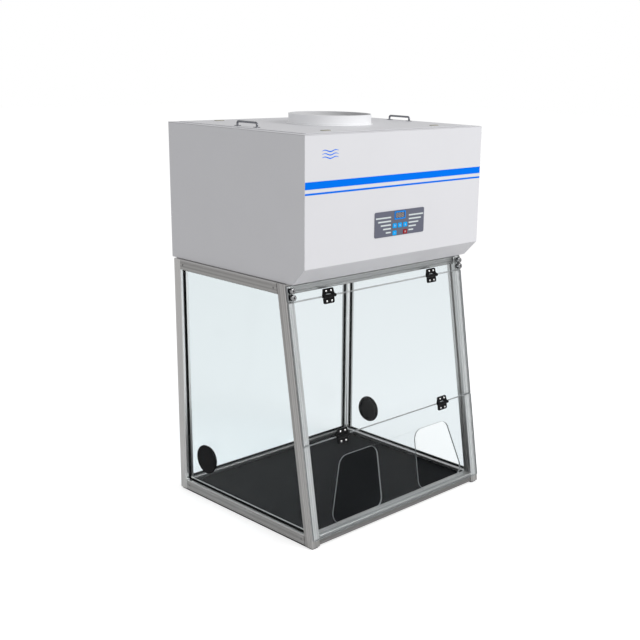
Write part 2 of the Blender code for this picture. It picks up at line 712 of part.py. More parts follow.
def shroud_height(radius):
    """Underside of the wheel's front shroud above the wheel's foot."""
    if radius < EYE_RADIUS + 0.012:
        return radius - EYE_RADIUS
    return 0.012 + 0.005 * (radius - EYE_RADIUS - 0.012) / (IMPELLER_RADIUS - EYE_RADIUS - 0.012)


def blade_foot(radius):
    """Lower edge of a blade: sunk in the shroud, and clear of the inlet ring inside the eye."""
    return shroud_height(radius) + 0.0012 if radius > EYE_RADIUS + 0.004 else 0.0095


def fan():
    """Backward-curved wheel on an external-rotor motor, hung under a bridge."""
    blades, skin, root = 7, 0.002, 0.066
    stations = (EYE_RADIUS, EYE_RADIUS + 0.012, IMPELLER_RADIUS)
    line = [(radius, WHEEL_FOOT + shroud_height(radius)) for radius in stations]
    bm = bmesh.new()
    turned(bm, line + offset(line, -skin, closed=False)[::-1], 30)
    wheel = piece("fan_wheel", bm, "aluminium", None, (0, FAN_Y, 0))
    bm = bmesh.new()
    turned(bm, [(ROTOR_RADIUS - skin, WHEEL_TOP - skin), (IMPELLER_RADIUS, WHEEL_TOP - skin),
                (IMPELLER_RADIUS, WHEEL_TOP), (ROTOR_RADIUS - skin, WHEEL_TOP)], 30)
    join(wheel, bm, "back_plate")
    for number in range(blades):
        path = []
        for k in range(6):
            radius = root + (IMPELLER_RADIUS - 0.003 - root) * k / 5
            angle = 2 * pi * number / blades - radians(52) * (k / 5) ** 0.85
            path.append((radius * cos(angle), radius * sin(angle)))
        bm = bmesh.new()
        rings = []
        for near, far in zip(offset(path, 0.0009, False), offset(path, -0.0009, False)):
            low = WHEEL_FOOT + blade_foot(Vector(near).length)
            high = WHEEL_TOP - skin / 2
            corners = ((*near, low), (*far, low), (*far, high), (*near, high))
            rings.append([bm.verts.new(corner) for corner in corners])
        loft(bm, rings)
        join(wheel, bm, f"blade_{number}")

    wall, rotor_top, rotor_low = 0.004, WHEEL_TOP + 0.006, WHEEL_TOP - 0.044
    bm = bmesh.new()
    turned(bm, [(0, rotor_low), (ROTOR_RADIUS - wall, rotor_low), (ROTOR_RADIUS, rotor_low + wall),
                (ROTOR_RADIUS, rotor_top), (ROTOR_RADIUS - wall, rotor_top),
                (ROTOR_RADIUS - wall, rotor_low + wall), (SHAFT_RADIUS, rotor_low + wall),
                (SHAFT_RADIUS, BRIDGE_TOP + 0.002), (0, BRIDGE_TOP + 0.002)], 30)
    join(wheel, bm, "rotor")
    bm = bmesh.new()
    under = BRIDGE_TOP - 0.003 - GAP
    core, flange, neck = ROTOR_RADIUS - wall - 0.0008, 0.058, 0.030
    turned(bm, [(SHAFT_BORE, rotor_low + 0.007), (core, rotor_low + 0.007), (core, rotor_top + 0.003),
                (flange, rotor_top + 0.003), (flange, rotor_top + 0.010), (neck, rotor_top + 0.010),
                (neck, under), (SHAFT_BORE, under)], 30)
    piece("fan_stator", bm, "aluminium", None, (0, FAN_Y, 0))

    half, foot, skin = 0.175, 0.022, 0.003
    floor = FLOOR_TOP + GAP
    path = [(-half - foot, floor + skin), (-half, floor + skin), (-half, BRIDGE_TOP), (half, BRIDGE_TOP),
            (half, floor + skin), (half + foot, floor + skin)]
    bm = bmesh.new()
    slab(bm, folded(path, 0.004, skin), -0.045, 0.045, (), at(0, FAN_Y) @ TO_Y)
    bridge = piece("motor_bridge", bm, "steel")
    bm = bmesh.new()
    turned(bm, [(0, BRIDGE_TOP - 0.01), (0.008, BRIDGE_TOP - 0.01), (0.008, BRIDGE_TOP + 0.01),
                (0, BRIDGE_TOP + 0.01)], 24, at(0, FAN_Y))
    cut(bridge, bm, "cutter_bridge")


def services():
    """Intake grille, lamp, power supply and mains inlet."""
    under = CABINET_BOTTOM - GAP
    bm = bmesh.new()
    size, bars, edge, pitch = 0.260, 11, 0.014, 0.0215
    slots = []
    for k in range(bars):
        y = FAN_Y + (k - (bars - 1) / 2) * pitch
        for x in (-0.061, 0.061):
            slots.append(rectangle(0.110, pitch - 0.006, x, y))
    slab(bm, rounded(rectangle(size, size, 0, FAN_Y), edge / 2, 3), under - 0.003, under, slots)
    piece("intake_grille", bm, "paint")

    y, half, wide, tall = REAR - 0.448, 0.160, 0.034, 0.018
    bm = bmesh.new()
    path = [(y - wide / 2, under - tall), (y - wide / 2, under), (y + wide / 2, under),
            (y + wide / 2, under - tall)]
    outline = folded(path, 0.003)
    housing = bar(outline, "x", -half, half)
    piece("lamp_housing", housing, "paint")
    bm = bmesh.new()
    inner = wide / 2 - 0.0015 - GAP
    low = under - tall - 0.002
    crown = [(y - inner, under - 0.006), (y - inner, under - tall), (y - inner + 0.004, low),
             (y + inner - 0.004, low), (y + inner, under - tall), (y + inner, under - 0.006)]
    slab(bm, crown, -half + GAP, half - GAP, (), TO_X)
    piece("lamp_diffuser", bm, "diffuser")

    bm = bmesh.new()
    size = (0.090, 0.160)
    slab(bm, rounded(rectangle(*size, 0.270, REAR - 0.130), 0.004, 3), FLOOR_TOP + GAP, FLOOR_TOP + 0.042)
    piece("power_supply", bm, "steel")

    bm = bmesh.new()
    width, height = INLET_SIZE
    x, z = INLET_AT
    rim = rounded(rectangle(width + 0.010, height + 0.010, x, z), 0.003, 3)
    socket = rounded(rectangle(width - 0.006, height - 0.006, x, z), 0.002, 2)
    place = at(0, REAR) @ TO_Y
    slab(bm, rim, -INLET_PROUD, -GAP, [socket], place)
    inlet = piece("power_inlet", bm, "black_plastic")
    bm = bmesh.new()
    slab(bm, rectangle(width, height, x, z), -0.001, 0.022, (), place)
    join(inlet, bm, "inlet_body")
    bm = bmesh.new()
    slab(bm, socket, -0.01, 0.016, (), place)
    cut(inlet, bm, "inlet_socket")


def build():
    for thing in list(bpy.data.objects):
        bpy.data.objects.remove(thing)
    slope = empty("front_slope", None, (0, FRONT_LINE, 0), (pi / 2 - LEAN, 0, 0))
    frame(slope)
    foot_strips()
    base_plate()
    panels()
    port_plugs()
    front(slope)
    cabinet()
    duct_collar()
    lid_handles()
    controls()
    inlet_ring()
    fan()
    services()


build()
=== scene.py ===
"""The looks of a bench-top ducted fume hood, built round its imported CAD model.

Metres, +Z up, the front faces -Y.  Profiles, side and rear sheets, gaskets, keys and sheet metal keep
their CAD shape, with materials and, where they need them, soft edges.  The front's clear sheets, the
hinges, plugs, duct collar and lid handles are made again with rounder shapes, and fasteners, print
and pads are added.
"""
import json
from math import cos, pi, radians, sin, tan

import bmesh
import bpy
from mathutils import Matrix, Vector
from mathutils.geometry import tessellate_polygon


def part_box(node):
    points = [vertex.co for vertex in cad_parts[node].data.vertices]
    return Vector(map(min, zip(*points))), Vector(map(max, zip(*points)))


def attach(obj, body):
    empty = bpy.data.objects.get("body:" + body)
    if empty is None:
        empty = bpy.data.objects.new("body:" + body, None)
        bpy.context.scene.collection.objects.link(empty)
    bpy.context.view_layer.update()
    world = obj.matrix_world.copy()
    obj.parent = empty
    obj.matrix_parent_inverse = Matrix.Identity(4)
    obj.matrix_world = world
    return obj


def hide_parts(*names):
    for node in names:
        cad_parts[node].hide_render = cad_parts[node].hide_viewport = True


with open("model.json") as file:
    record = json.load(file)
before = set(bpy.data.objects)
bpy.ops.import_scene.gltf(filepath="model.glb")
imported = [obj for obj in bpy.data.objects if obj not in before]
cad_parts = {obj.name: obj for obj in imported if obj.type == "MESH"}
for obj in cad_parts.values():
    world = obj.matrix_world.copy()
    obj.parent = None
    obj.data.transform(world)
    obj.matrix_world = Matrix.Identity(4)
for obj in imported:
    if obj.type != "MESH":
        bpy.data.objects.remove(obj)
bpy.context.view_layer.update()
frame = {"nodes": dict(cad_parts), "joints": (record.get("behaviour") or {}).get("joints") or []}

NODES = frame["nodes"]
SIDES = (("left", -1), ("right", 1))
SKIN = 0.00005                   # between a thin layer and what it lies on


# ---- the sloping front --------------------------------------------------------------------
def pin_of(name):
    """A place on a hinge joint's axis."""
    return next(Vector(joint["pos_m"]) for joint in frame["joints"] if joint["name"] == name)


WINDOW_PIN = pin_of("window_hinge")
FLAP_PIN = pin_of("flap_hinge")
UP = (WINDOW_PIN - FLAP_PIN).normalized()
OUT = Vector((0, -UP.z, UP.y))
FLAP_DROP = (WINDOW_PIN - FLAP_PIN).length
SHEET_FACE = -0.0055             # the sheets' outer face, out from the pins
SHEET_BACK = -0.0105
SHEET_ARRIS = 0.0013             # the frosted bevel round their edges
LEAF_FACE = -0.0017              # the hinge leaves' outer face
HINGE_X = (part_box("strip_leaf_right")[0].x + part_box("strip_leaf_right")[1].x) / 2
HINGE_HALF = (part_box("strip_leaf_right")[1].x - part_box("strip_leaf_right")[0].x) / 2
SHOULDER = 0.0026                # how far the outer knuckles reach past the leaves' sides


def on_slope(x, along, out):
    """A frame on the slope: X across, Y up the slope from the window's pins, Z out of it."""
    where = WINDOW_PIN + UP * along + OUT * out
    where.x = x
    turn = Matrix((Vector((1, 0, 0)), UP, OUT)).transposed().to_4x4()
    return Matrix.Translation(where) @ turn


# ---- materials ------------------------------------------------------------------------------
def plain(name, colour, roughness, metallic=0.0, **sockets):
    """A Principled material with plain values on the shader's own sockets."""
    made = bpy.data.materials.new(name)
    made.use_nodes = True
    shader = made.node_tree.nodes["Principled BSDF"]
    shader.inputs["Base Color"].default_value = (*colour, 1)
    shader.inputs["Roughness"].default_value = roughness
    shader.inputs["Metallic"].default_value = metallic
    for socket, value in sockets.items():
        shader.inputs[socket.replace("_", " ")].default_value = value
    return made


def noise(made, per_metre, detail=3.0, turn=(0, 0, 0)):
    """A noise texture in the object's own space, with its features per metre on each turned axis."""
    nodes, links = made.node_tree.nodes, made.node_tree.links
    place = nodes.new("ShaderNodeTexCoord")
    mapping = nodes.new("ShaderNodeMapping")
    mapping.vector_type = "TEXTURE"
    mapping.inputs["Rotation"].default_value = turn
    mapping.inputs["Scale"].default_value = [1 / count for count in per_metre]
    texture = nodes.new("ShaderNodeTexNoise")
    texture.inputs["Scale"].default_value = 1.0
    texture.inputs["Detail"].default_value = detail
    links.new(place.outputs["Object"], mapping.inputs["Vector"])
    links.new(mapping.outputs["Vector"], texture.inputs["Vector"])
    return texture.outputs["Fac"]


def tint(made, factor, dark, light):
    """Base colour between two tones, by a factor."""
    nodes, links = made.node_tree.nodes, made.node_tree.links
    mix = nodes.new("ShaderNodeMix")
    mix.data_type = "RGBA"
    mix.inputs["A"].default_value = (*dark, 1)
    mix.inputs["B"].default_value = (*light, 1)
    links.new(factor, mix.inputs["Factor"])
    links.new(mix.outputs["Result"], nodes["Principled BSDF"].inputs["Base Color"])


def dull(made, factor, low, high):
    """Roughness between two values, by a factor."""
    nodes, links = made.node_tree.nodes, made.node_tree.links
    span = nodes.new("ShaderNodeMapRange")
    span.inputs["From Min"].default_value = 0.3
    span.inputs["From Max"].default_value = 0.7
    span.inputs["To Min"].default_value = low
    span.inputs["To Max"].default_value = high
    links.new(factor, span.inputs["Value"])
    links.new(span.outputs["Result"], nodes["Principled BSDF"].inputs["Roughness"])


def relief(made, factor, strength, depth):
    """Bump by a factor, with its depth in metres."""
    nodes, links = made.node_tree.nodes, made.node_tree.links
    bump = nodes.new("ShaderNodeBump")
    bump.inputs["Strength"].default_value = strength
    bump.inputs["Distance"].default_value = depth
    links.new(factor, bump.inputs["Height"])
    links.new(bump.outputs["Normal"], nodes["Principled BSDF"].inputs["Normal"])


def aluminium(name, along, dark, light):
    """Satin anodised extrusion, with painted reflection bands and fine die lines along the bar."""
    made = plain(name, (0.52, 0.515, 0.505), 0.36, 1.0)
    reflection_tones = [(level, level * 0.985, level * 0.97) for level in (dark, light)]
    turn = Vector((0, 0, 1)).rotation_difference(Vector(along)).to_euler()
    lines = noise(made, (900, 900, 2.5), 2.0, turn)
    # painted reflection: broad light and dark bands along the bar stand in for the studio mirrored in the
    # metal
    tint(made, noise(made, (170, 170, 0.12), 1.0, turn), *reflection_tones)
    dull(made, lines, 0.28, 0.38)
    relief(made, lines, 0.06, 0.00004)
    return made


def powder_coat(name, light):
    """Fine-textured white paint, a little uneven in gloss."""
    dark = [channel * 0.965 for channel in light]
    made = plain(name, light, 0.42)
    tint(made, noise(made, (9, 9, 9), 4.0), dark, light)
    texture = noise(made, (1100, 1100, 1100), 2.0)
    dull(made, texture, 0.36, 0.5)
    relief(made, texture, 0.22, 0.00008)
    return made


def clear_sheet(name, tone):
    """Clear sheet that lets lamps through, so that what it covers isn't in its shadow."""
    made = plain(name, tone, 0.0, 0.0, Transmission_Weight=1.0, IOR=1.16, Specular_IOR_Level=0.1)
    nodes, links = made.node_tree.nodes, made.node_tree.links
    haze = noise(made, (14, 14, 14), 5.0)
    dull(made, haze, 0.0, 0.006)
    through = nodes.new("ShaderNodeBsdfTransparent")
    through.inputs["Color"].default_value = (*tone, 1)
    path = nodes.new("ShaderNodeLightPath")
    mix = nodes.new("ShaderNodeMixShader")
    links.new(path.outputs["Is Shadow Ray"], mix.inputs["Fac"])
    links.new(nodes["Principled BSDF"].outputs["BSDF"], mix.inputs[1])
    links.new(through.outputs["BSDF"], mix.inputs[2])
    links.new(mix.outputs["Shader"], nodes["Material Output"].inputs["Surface"])
    return made


def moulded(name, dark, light, low, high, per_metre=700, depth=0.00006, sheen=0.3):
    """Moulded plastic, rubber or laminate: a fine even grain, with cloudy tone."""
    made = plain(name, light, (low + high) / 2, 0.0, Specular_IOR_Level=sheen)
    tint(made, noise(made, (30, 30, 30), 5.0), dark, light)
    texture = noise(made, (per_metre,) * 3, 3.0)
    dull(made, texture, low, high)
    relief(made, texture, 0.3, depth)
    return made


def plated(name, dark, light, low, high):
    """Plated or polished metal: the tone between dark and light is faint smears, and on the chrome also
    painted reflection.
    """
    made = plain(name, light, low, 1.0)
    smears_and_reflection = noise(made, (140, 140, 140), 4.0)
    tint(made, smears_and_reflection, dark, light)
    dull(made, smears_and_reflection, low, high)
    return made


def make_looks():
    """Every material, by the name that the pieces below ask for."""
    return {
        # the four aluminium copies differ in painted shade and reflection: the rails across are painted
        # darkest, the rear posts lightest
        "metal_x": aluminium("aluminium_x", (1, 0, 0), 0.10, 0.60),
        "metal_y": aluminium("aluminium_y", (0, 1, 0), 0.20, 0.92),
        "metal_z": aluminium("aluminium_z", (0, 0, 1), 0.76, 0.99),
        "metal_slope": aluminium("aluminium_slope", UP, 0.22, 0.94),
        "paint": powder_coat("cabinet_paint", (0.80, 0.80, 0.83)),
        # a lighter copy of the cabinet's white paint: painted light, so that the collar shows brighter
        "duct_paint_lit": powder_coat("duct_paint_lit", (0.96, 0.965, 0.98)),
        "clear": clear_sheet("clear_panel", (0.842, 0.879, 0.889)),
        "front_clear": clear_sheet("clear_front", (0.862, 0.887, 0.898)),
        "sheet_edge": moulded("sawn_sheet_edge", (0.27, 0.28, 0.29), (0.45, 0.47, 0.48), 0.3, 0.5),
        "rubber": moulded("black_rubber", (0.004, 0.004, 0.005), (0.008, 0.008, 0.009), 0.55, 0.75,
                          sheen=0.2),
        "slate": moulded("slate_laminate", (0.0025, 0.003, 0.004), (0.0055, 0.0065, 0.008),
                         0.40, 0.54, 420, 0.00012, 0.02),
        "foam": moulded("foam_seal", (0.13, 0.13, 0.135), (0.20, 0.20, 0.21), 0.75, 0.95, 900, 0.0002),
        "hinge": moulded("hinge_plastic", (0.002, 0.002, 0.0025), (0.004, 0.004, 0.005), 0.24, 0.36,
                         sheen=0.16),
        # wide dark to light range: painted reflection contrast on the chrome, with faint smears
        "chrome": plated("polished_chrome", (0.28, 0.28, 0.29), (0.70, 0.70, 0.71), 0.05, 0.14),
        # a darker copy of the chrome for the lid handles: painted shade
        "handle": plated("chrome_painted_shade", (0.10, 0.105, 0.125), (0.42, 0.43, 0.46), 0.05, 0.12),
        "nickel": plated("nickel_screws", (0.86, 0.86, 0.86), (0.96, 0.96, 0.95), 0.14, 0.30),
        "steel": plated("zinc_steel", (0.42, 0.43, 0.45), (0.62, 0.63, 0.65), 0.26, 0.46),
        "cast": plated("cast_aluminium", (0.50, 0.50, 0.50), (0.64, 0.64, 0.63), 0.34, 0.52),
        "stripe": moulded("blue_film", (0.0, 0.178, 0.90), (0.0, 0.198, 0.98), 0.4, 0.5, sheen=0.02),
        "overlay": moulded("overlay_film", (0.130, 0.137, 0.185), (0.150, 0.157, 0.208), 0.4, 0.52),
        "print": moulded("white_print", (0.66, 0.72, 0.72), (0.76, 0.82, 0.82), 0.4, 0.5),
        "frame_print": moulded("display_frame", (0.004, 0.25, 0.84), (0.008, 0.29, 0.92), 0.3, 0.42,
                               sheen=0.1),
        "window": moulded("smoked_window", (0.050, 0.036, 0.034), (0.075, 0.055, 0.050), 0.1, 0.18),
        "digit": moulded("display_segment", (0.66, 0.63, 0.61), (0.80, 0.77, 0.75), 0.3, 0.4),
        "key_blue": moulded("key_blue", (0.004, 0.38, 0.92), (0.006, 0.43, 0.98), 0.34, 0.46, sheen=0.1),
        "key_red": moulded("key_red", (0.30, 0.005, 0.010), (0.42, 0.008, 0.015), 0.28, 0.4),
        "board": moulded("solder_mask", (0.012, 0.12, 0.05), (0.02, 0.18, 0.075), 0.3, 0.45),
        "diffuser": moulded("frosted_diffuser", (0.84, 0.87, 0.90), (0.92, 0.94, 0.96), 0.4, 0.6),
        "pad": moulded("lid_pads", (0.34, 0.33, 0.27), (0.45, 0.43, 0.36), 0.6, 0.8),
    }


LOOKS = make_looks()


# ---- mesh tools -------------------------------------------------------------------------------
def add(name, bm, look, body, place=Matrix(), edge=0.0, stands_for=()):
    """Make a piece from a bmesh, round its sharp edges, and let it ride on a body."""
    bmesh.ops.recalc_face_normals(bm, faces=bm.faces)
    mesh = bpy.data.meshes.new(name)
    bm.to_mesh(mesh)
    bm.free()
    return add_mesh(name, mesh, look, body, place, edge, stands_for)


def add_mesh(name, mesh, look, body, place=Matrix(), edge=0.0, stands_for=()):
    """The same from a finished mesh, which may bring its own materials."""
    mesh.shade_smooth()
    mesh.set_sharp_from_angle(angle=radians(35))
    made = bpy.data.objects.new(name, mesh)
    bpy.context.collection.objects.link(made)
    made.matrix_world = place
    if not mesh.materials:
        mesh.materials.append(LOOKS[look])
    if edge:
        soften(made, edge)
    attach(made, body)
    if stands_for:
        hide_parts(*stands_for)
    return made


def soften(made, width, segments=2):
    """Round the sharp edges, so that they catch the light."""
    bevel = made.modifiers.new("soft_edges", "BEVEL")
    bevel.width = width
    bevel.segments = segments
    bevel.limit_method = "ANGLE"
    bevel.angle_limit = radians(38)
    bevel.harden_normals = True
    bevel.use_clamp_overlap = True


def slab(bm, outline, low, high, holes=(), place=Matrix()):
    """A flat plate from height low to high, with holes through it."""
    loops = [outline, *holes]
    rings = [[[bm.verts.new(place @ Vector((x, y, z))) for x, y in loop] for z in (low, high)]
             for loop in loops]
    if holes:
        under = [vert for ring in rings for vert in ring[0]]
        over = [vert for ring in rings for vert in ring[1]]
        flat = [[Vector((x, y, 0)) for x, y in loop] for loop in loops]
        for a, b, c in tessellate_polygon(flat):
            bm.faces.new((under[c], under[b], under[a]))
            bm.faces.new((over[a], over[b], over[c]))
    else:
        bm.faces.new(rings[0][0][::-1])
        bm.faces.new(rings[0][1])
    for under, over in rings:
        for i, vert in enumerate(under):
            bm.faces.new((under[i - 1], vert, over[i], over[i - 1]))


def turned(bm, profile, segments, place=Matrix()):
    """A closed outline of (radius, height) points turned about Z."""
    rings = []
    for radius, height in profile:
        count = 1 if radius < 1e-6 else segments
        angles = [2 * pi * k / segments for k in range(count)]
        ring = [place @ Vector((radius * cos(a), radius * sin(a), height)) for a in angles]
        rings.append([bm.verts.new(point) for point in ring])
    for before, ring in zip([rings[-1], *rings], rings):
        if len(before) == len(ring) == 1:
            continue
        for k in range(segments):
            n = (k + 1) % segments
            corners = [before[k % len(before)], before[n % len(before)],
                       ring[n % len(ring)], ring[k % len(ring)]]
            bm.faces.new(list(dict.fromkeys(corners)))


def swept(bm, path, radius, segments=16, place=Matrix()):
    """A round bar along a path in the Y-Z plane, with flat ends."""
    rings = []
    for i, point in enumerate(path):
        before, after = path[max(i - 1, 0)], path[min(i + 1, len(path) - 1)]
        ahead = (Vector(after) - Vector(before)).normalized()
        side, over = Vector((1, 0, 0)), Vector((0, -ahead.y, ahead.x))
        centre = Vector((0, *point))
        angles = [2 * pi * k / segments for k in range(segments)]
        ring = [centre + (side * cos(a) + over * sin(a)) * radius for a in angles]
        rings.append([bm.verts.new(place @ corner) for corner in ring])
    bm.faces.new(rings[0])
    bm.faces.new(rings[-1])
    for before, ring in zip(rings, rings[1:]):
        for k in range(segments):
            bm.faces.new((before[k - 1], before[k], ring[k], ring[k - 1]))


def arc(radius, first, last, steps, x=0.0, y=0.0):
    """Points along an arc, its angles in degrees."""
    angles = [radians(first + (last - first) * k / steps) for k in range(steps + 1)]
    return [(x + radius * cos(a), y + radius * sin(a)) for a in angles]


def rounded_box(width, height, radius, x=0.0, y=0.0, steps=6):
    """A rectangle with round corners, centred on x, y."""
    a, b = width / 2 - radius, height / 2 - radius
    corners = ((a, -b, -90), (a, b, 0), (-a, b, 90), (-a, -b, 180))
    points = []
    for dx, dy, start in corners:
        points += arc(radius, start, start + 90, steps, x + dx, y + dy)
    return points


def rounded(points, radii, steps=8):
    """Round the corners of a closed outline, with a radius for each."""
    result = []
    for i, (corner, radius) in enumerate(zip(points, radii)):
        here = Vector(corner)
        back = (Vector(points[i - 1]) - here).normalized()
        ahead = (Vector(points[(i + 1) % len(points)]) - here).normalized()
        half = back.angle(ahead) / 2
        start, stop = (here + way * (radius / tan(half)) for way in (back, ahead))
        centre = here + (back + ahead).normalized() * (radius / sin(half))
        turn = (start - centre).angle_signed(stop - centre)
        for k in range(steps + 1):
            arm = start - centre
            arm.rotate(Matrix.Rotation(-turn * k / steps, 2))
            result.append(tuple(centre + arm))
    return result


def circle(radius, segments, x=0.0, y=0.0):
    """A closed circle of points, without its first point again at the end."""
    return arc(radius, 0, 360 * (segments - 1) / segments, segments - 1, x, y)


def carved(bm, cutter):
    """The mesh of one solid with another taken out of it."""
    objects = []
    for number, solid in enumerate((bm, cutter)):
        bmesh.ops.recalc_face_normals(solid, faces=solid.faces)
        mesh = bpy.data.meshes.new(f"carving_{number}")
        solid.to_mesh(mesh)
        solid.free()
        objects.append(bpy.data.objects.new(f"carving_{number}", mesh))
        bpy.context.collection.objects.link(objects[-1])
    modifier = objects[0].modifiers.new("carve", "BOOLEAN")
    modifier.object = objects[1]
    modifier.solver = "EXACT"
    graph = bpy.context.evaluated_depsgraph_get()
    mesh = bpy.data.meshes.new_from_object(objects[0].evaluated_get(graph))
    for thing in objects:
        bpy.data.objects.remove(thing)
    return mesh


# ---- CAD nodes that stay ----------------------------------------------------------------------
def finish_nodes():
    """Materials and soft edges for the CAD nodes that keep their shape."""
    finishes = [
        ("metal_z", 0, ["rear_post_left", "rear_post_right"]),
        ("metal_slope", 0, ["front_post_left", "front_post_right"]),
        ("metal_y", 0, ["bottom_rail_left", "bottom_rail_right", "top_rail_left", "top_rail_right"]),
        ("metal_x", 0, ["bottom_rail_rear", "bottom_rail_front", "top_rail_rear", "top_rail_front"]),
        ("slate", 0.0008, ["work_surface"]),
        ("clear", 0.0004, ["panel_left", "panel_right", "panel_rear"]),
        ("rubber", 0, ["gasket_left", "gasket_right", "gasket_rear", "foot_strip_left",
                       "foot_strip_right"]),
        ("foam", 0, ["cabinet_seal"]),
        ("paint", 0.0006, ["cabinet_shell", "front_cover", "roof_panel", "service_lid",
                           "intake_grille", "lamp_housing", "cabinet_floor"]),
        ("overlay", 0.0003, ["control_overlay"]),
        ("window", 0.0002, ["display_window"]),
        ("key_blue", 0.0003, ["key_power", "key_fan_up", "key_lamp", "key_fan_down"]),
        ("key_red", 0.0003, ["key_stop"]),
        ("board", 0, ["control_board"]),
        ("steel", 0.0003, ["inlet_ring", "motor_bridge", "power_supply"]),
        ("cast", 0, ["fan_wheel", "fan_stator"]),
        ("diffuser", 0.0006, ["lamp_diffuser"]),
        ("hinge", 0.0004, ["power_inlet"]),
    ]
    for look, edge, names in finishes:
        for name in names:
            node = NODES[name]
            node.data.materials.clear()
            node.data.materials.append(LOOKS[look])
            if edge:
                weld = node.modifiers.new("weld", "WELD")
                weld.merge_threshold = 0.00001
                soften(node, edge)


# ---- front sheets -----------------------------------------------------------------------------
def arm_hole(sign):
    """An arm hole's outline: upright inner side, outer side leaning outward to the foot."""
    inner, outer_top, outer_foot = 0.080, 0.225, 0.285
    foot, top = -0.6337, -0.4484
    points = [(inner, foot), (outer_foot, foot), (outer_top, top), (inner, top)]
    return [(sign * x, y) for x, y in rounded(points, (0.030, 0.030, 0.034, 0.030))]


def front_sheets():
    """Fixed strip, window and flap: clear faces, with sawn edges that show as fine lines."""
    gap, top, foot, corner = 0.0005, 0.0447, -0.6560, 0.003
    bounds = {"upper_strip": (gap, top), "window": (gap - FLAP_DROP, -gap),
              "flap": (foot, -gap - FLAP_DROP)}
    bodies = {"upper_strip": "hood", "window": "window", "flap": "flap"}
    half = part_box("window")[1].x
    for name, (low, high) in bounds.items():
        holes = [arm_hole(sign) for sign in (-1, 1)] if name == "flap" else []
        bm = bmesh.new()
        outline = rounded_box(2 * half, high - low, corner, 0, (low + high) / 2)
        slab(bm, outline, SHEET_BACK, SHEET_FACE, holes)
        bmesh.ops.recalc_face_normals(bm, faces=bm.faces)
        for face in bm.faces:
            face.material_index = 0 if abs(face.normal.z) > 0.9 else 1
        mesh = bpy.data.meshes.new(f"{name}_sheet")
        bm.to_mesh(mesh)
        bm.free()
        mesh.materials.append(LOOKS["front_clear"])
        mesh.materials.append(LOOKS["sheet_edge"])
        made = add_mesh(f"{name}_sheet", mesh, "front_clear", bodies[name], on_slope(0, 0, 0),
                        SHEET_ARRIS, [name])
        made.modifiers["soft_edges"].material = 1


# ---- fasteners ----------------------------------------------------------------------------------
def screw_mesh(radius, dome, slot_depth):
    """A domed head with a cross recess, standing on Z = 0."""
    bm = bmesh.new()
    curve = [(radius * cos(radians(a)), dome * (0.25 + 0.75 * sin(radians(a)))) for a in range(0, 90, 15)]
    turned(bm, [(0, 0), (radius, 0), *curve, (0, dome)], 28)
    cross = bmesh.new()
    arm, half = radius * 0.5, radius * 0.11
    outline = [(half, half), (half, arm), (-half, arm), (-half, half), (-arm, half), (-arm, -half),
               (-half, -half), (-half, -arm), (half, -arm), (half, -half), (arm, -half), (arm, half)]
    slab(cross, outline, dome - slot_depth, dome + 0.001)
    mesh = carved(bm, cross)
    mesh.materials.clear()
    return mesh


def hex_nut(radius, thick, bore):
    bm = bmesh.new()
    slab(bm, circle(radius, 6), 0, thick, [circle(bore, 6)])
    return bm


def hinge_screws():
    """Four screws through each leaf pair, with nuts behind the sheet."""
    across, along = 0.009, 0.014
    head = screw_mesh(0.0032, 0.0021, 0.0009)
    head.materials.append(LOOKS["nickel"])
    rows = (("strip", "hood", along), ("window_top", "window", -along),
            ("window_foot", "window", along - FLAP_DROP), ("flap", "flap", -along - FLAP_DROP))
    for side, sign in SIDES:
        for row, body, height in rows:
            for number, shift in enumerate((-across, across)):
                x = sign * HINGE_X + shift
                name = f"screw_{row}_{side}_{number}"
                add_mesh(name, head.copy(), "nickel", body, on_slope(x, height, LEAF_FACE + SKIN))
                nut = hex_nut(0.0031, 0.0022, 0.0012)
                back = on_slope(x, height, SHEET_BACK - SKIN) @ Matrix.Rotation(pi, 4, "X")
                add(name.replace("screw", "nut"), nut, "nickel", body, back, 0.0002)


def hinge_leaf(ends):
    """One leaf with its knuckles; ends is 1 above the pin and -1 below it."""
    reach, knuckle, split, gap = 0.021, 0.0050, HINGE_HALF * 0.44, 0.0003
    thick, corner, waist, soft = 0.0035, 0.005, 0.0122, 0.0007
    rib_reach, rib_foot, rib_top, rib_proud = HINGE_HALF * 0.72, 0.0082, 0.0094, 0.0006
    bm = bmesh.new()
    neck = knuckle + 0.0004
    half = HINGE_HALF
    foot = half + SHOULDER if ends > 0 else half
    outline = [(-foot, neck), (foot, neck), (half, waist)]
    outline += arc(corner, 0, 90, 6, half - corner, reach - corner)
    outline += arc(corner, 90, 180, 6, corner - half, reach - corner) + [(-half, waist)]
    outline = [(x, ends * y) for x, y in outline]
    slab(bm, outline[::ends], LEAF_FACE - thick, LEAF_FACE)
    to_x = Matrix(((0, 0, 1, 0), (1, 0, 0, 0), (0, 1, 0, 0), (0, 0, 0, 1)))
    spans = [(-foot, -split), (split, foot)] if ends > 0 else [(gap - split, split - gap)]
    for low, high in spans:
        barrel = [(0, low), (knuckle - soft, low), (knuckle, low + soft), (knuckle, high - soft),
                  (knuckle - soft, high), (0, high)]
        turned(bm, barrel, 28, to_x)
        web = [(0, LEAF_FACE - thick), (neck + 0.001, LEAF_FACE - thick), (neck + 0.001, LEAF_FACE),
               (0, LEAF_FACE)]
        slab(bm, [(ends * along, out) for along, out in web], low, high, (), to_x)
    if ends > 0:
        rib = [(-rib_reach, rib_foot), (rib_reach, rib_foot), (rib_reach, rib_top),
               (-rib_reach, rib_top)]
        slab(bm, rib, LEAF_FACE - 0.001, LEAF_FACE + rib_proud)
    return bm


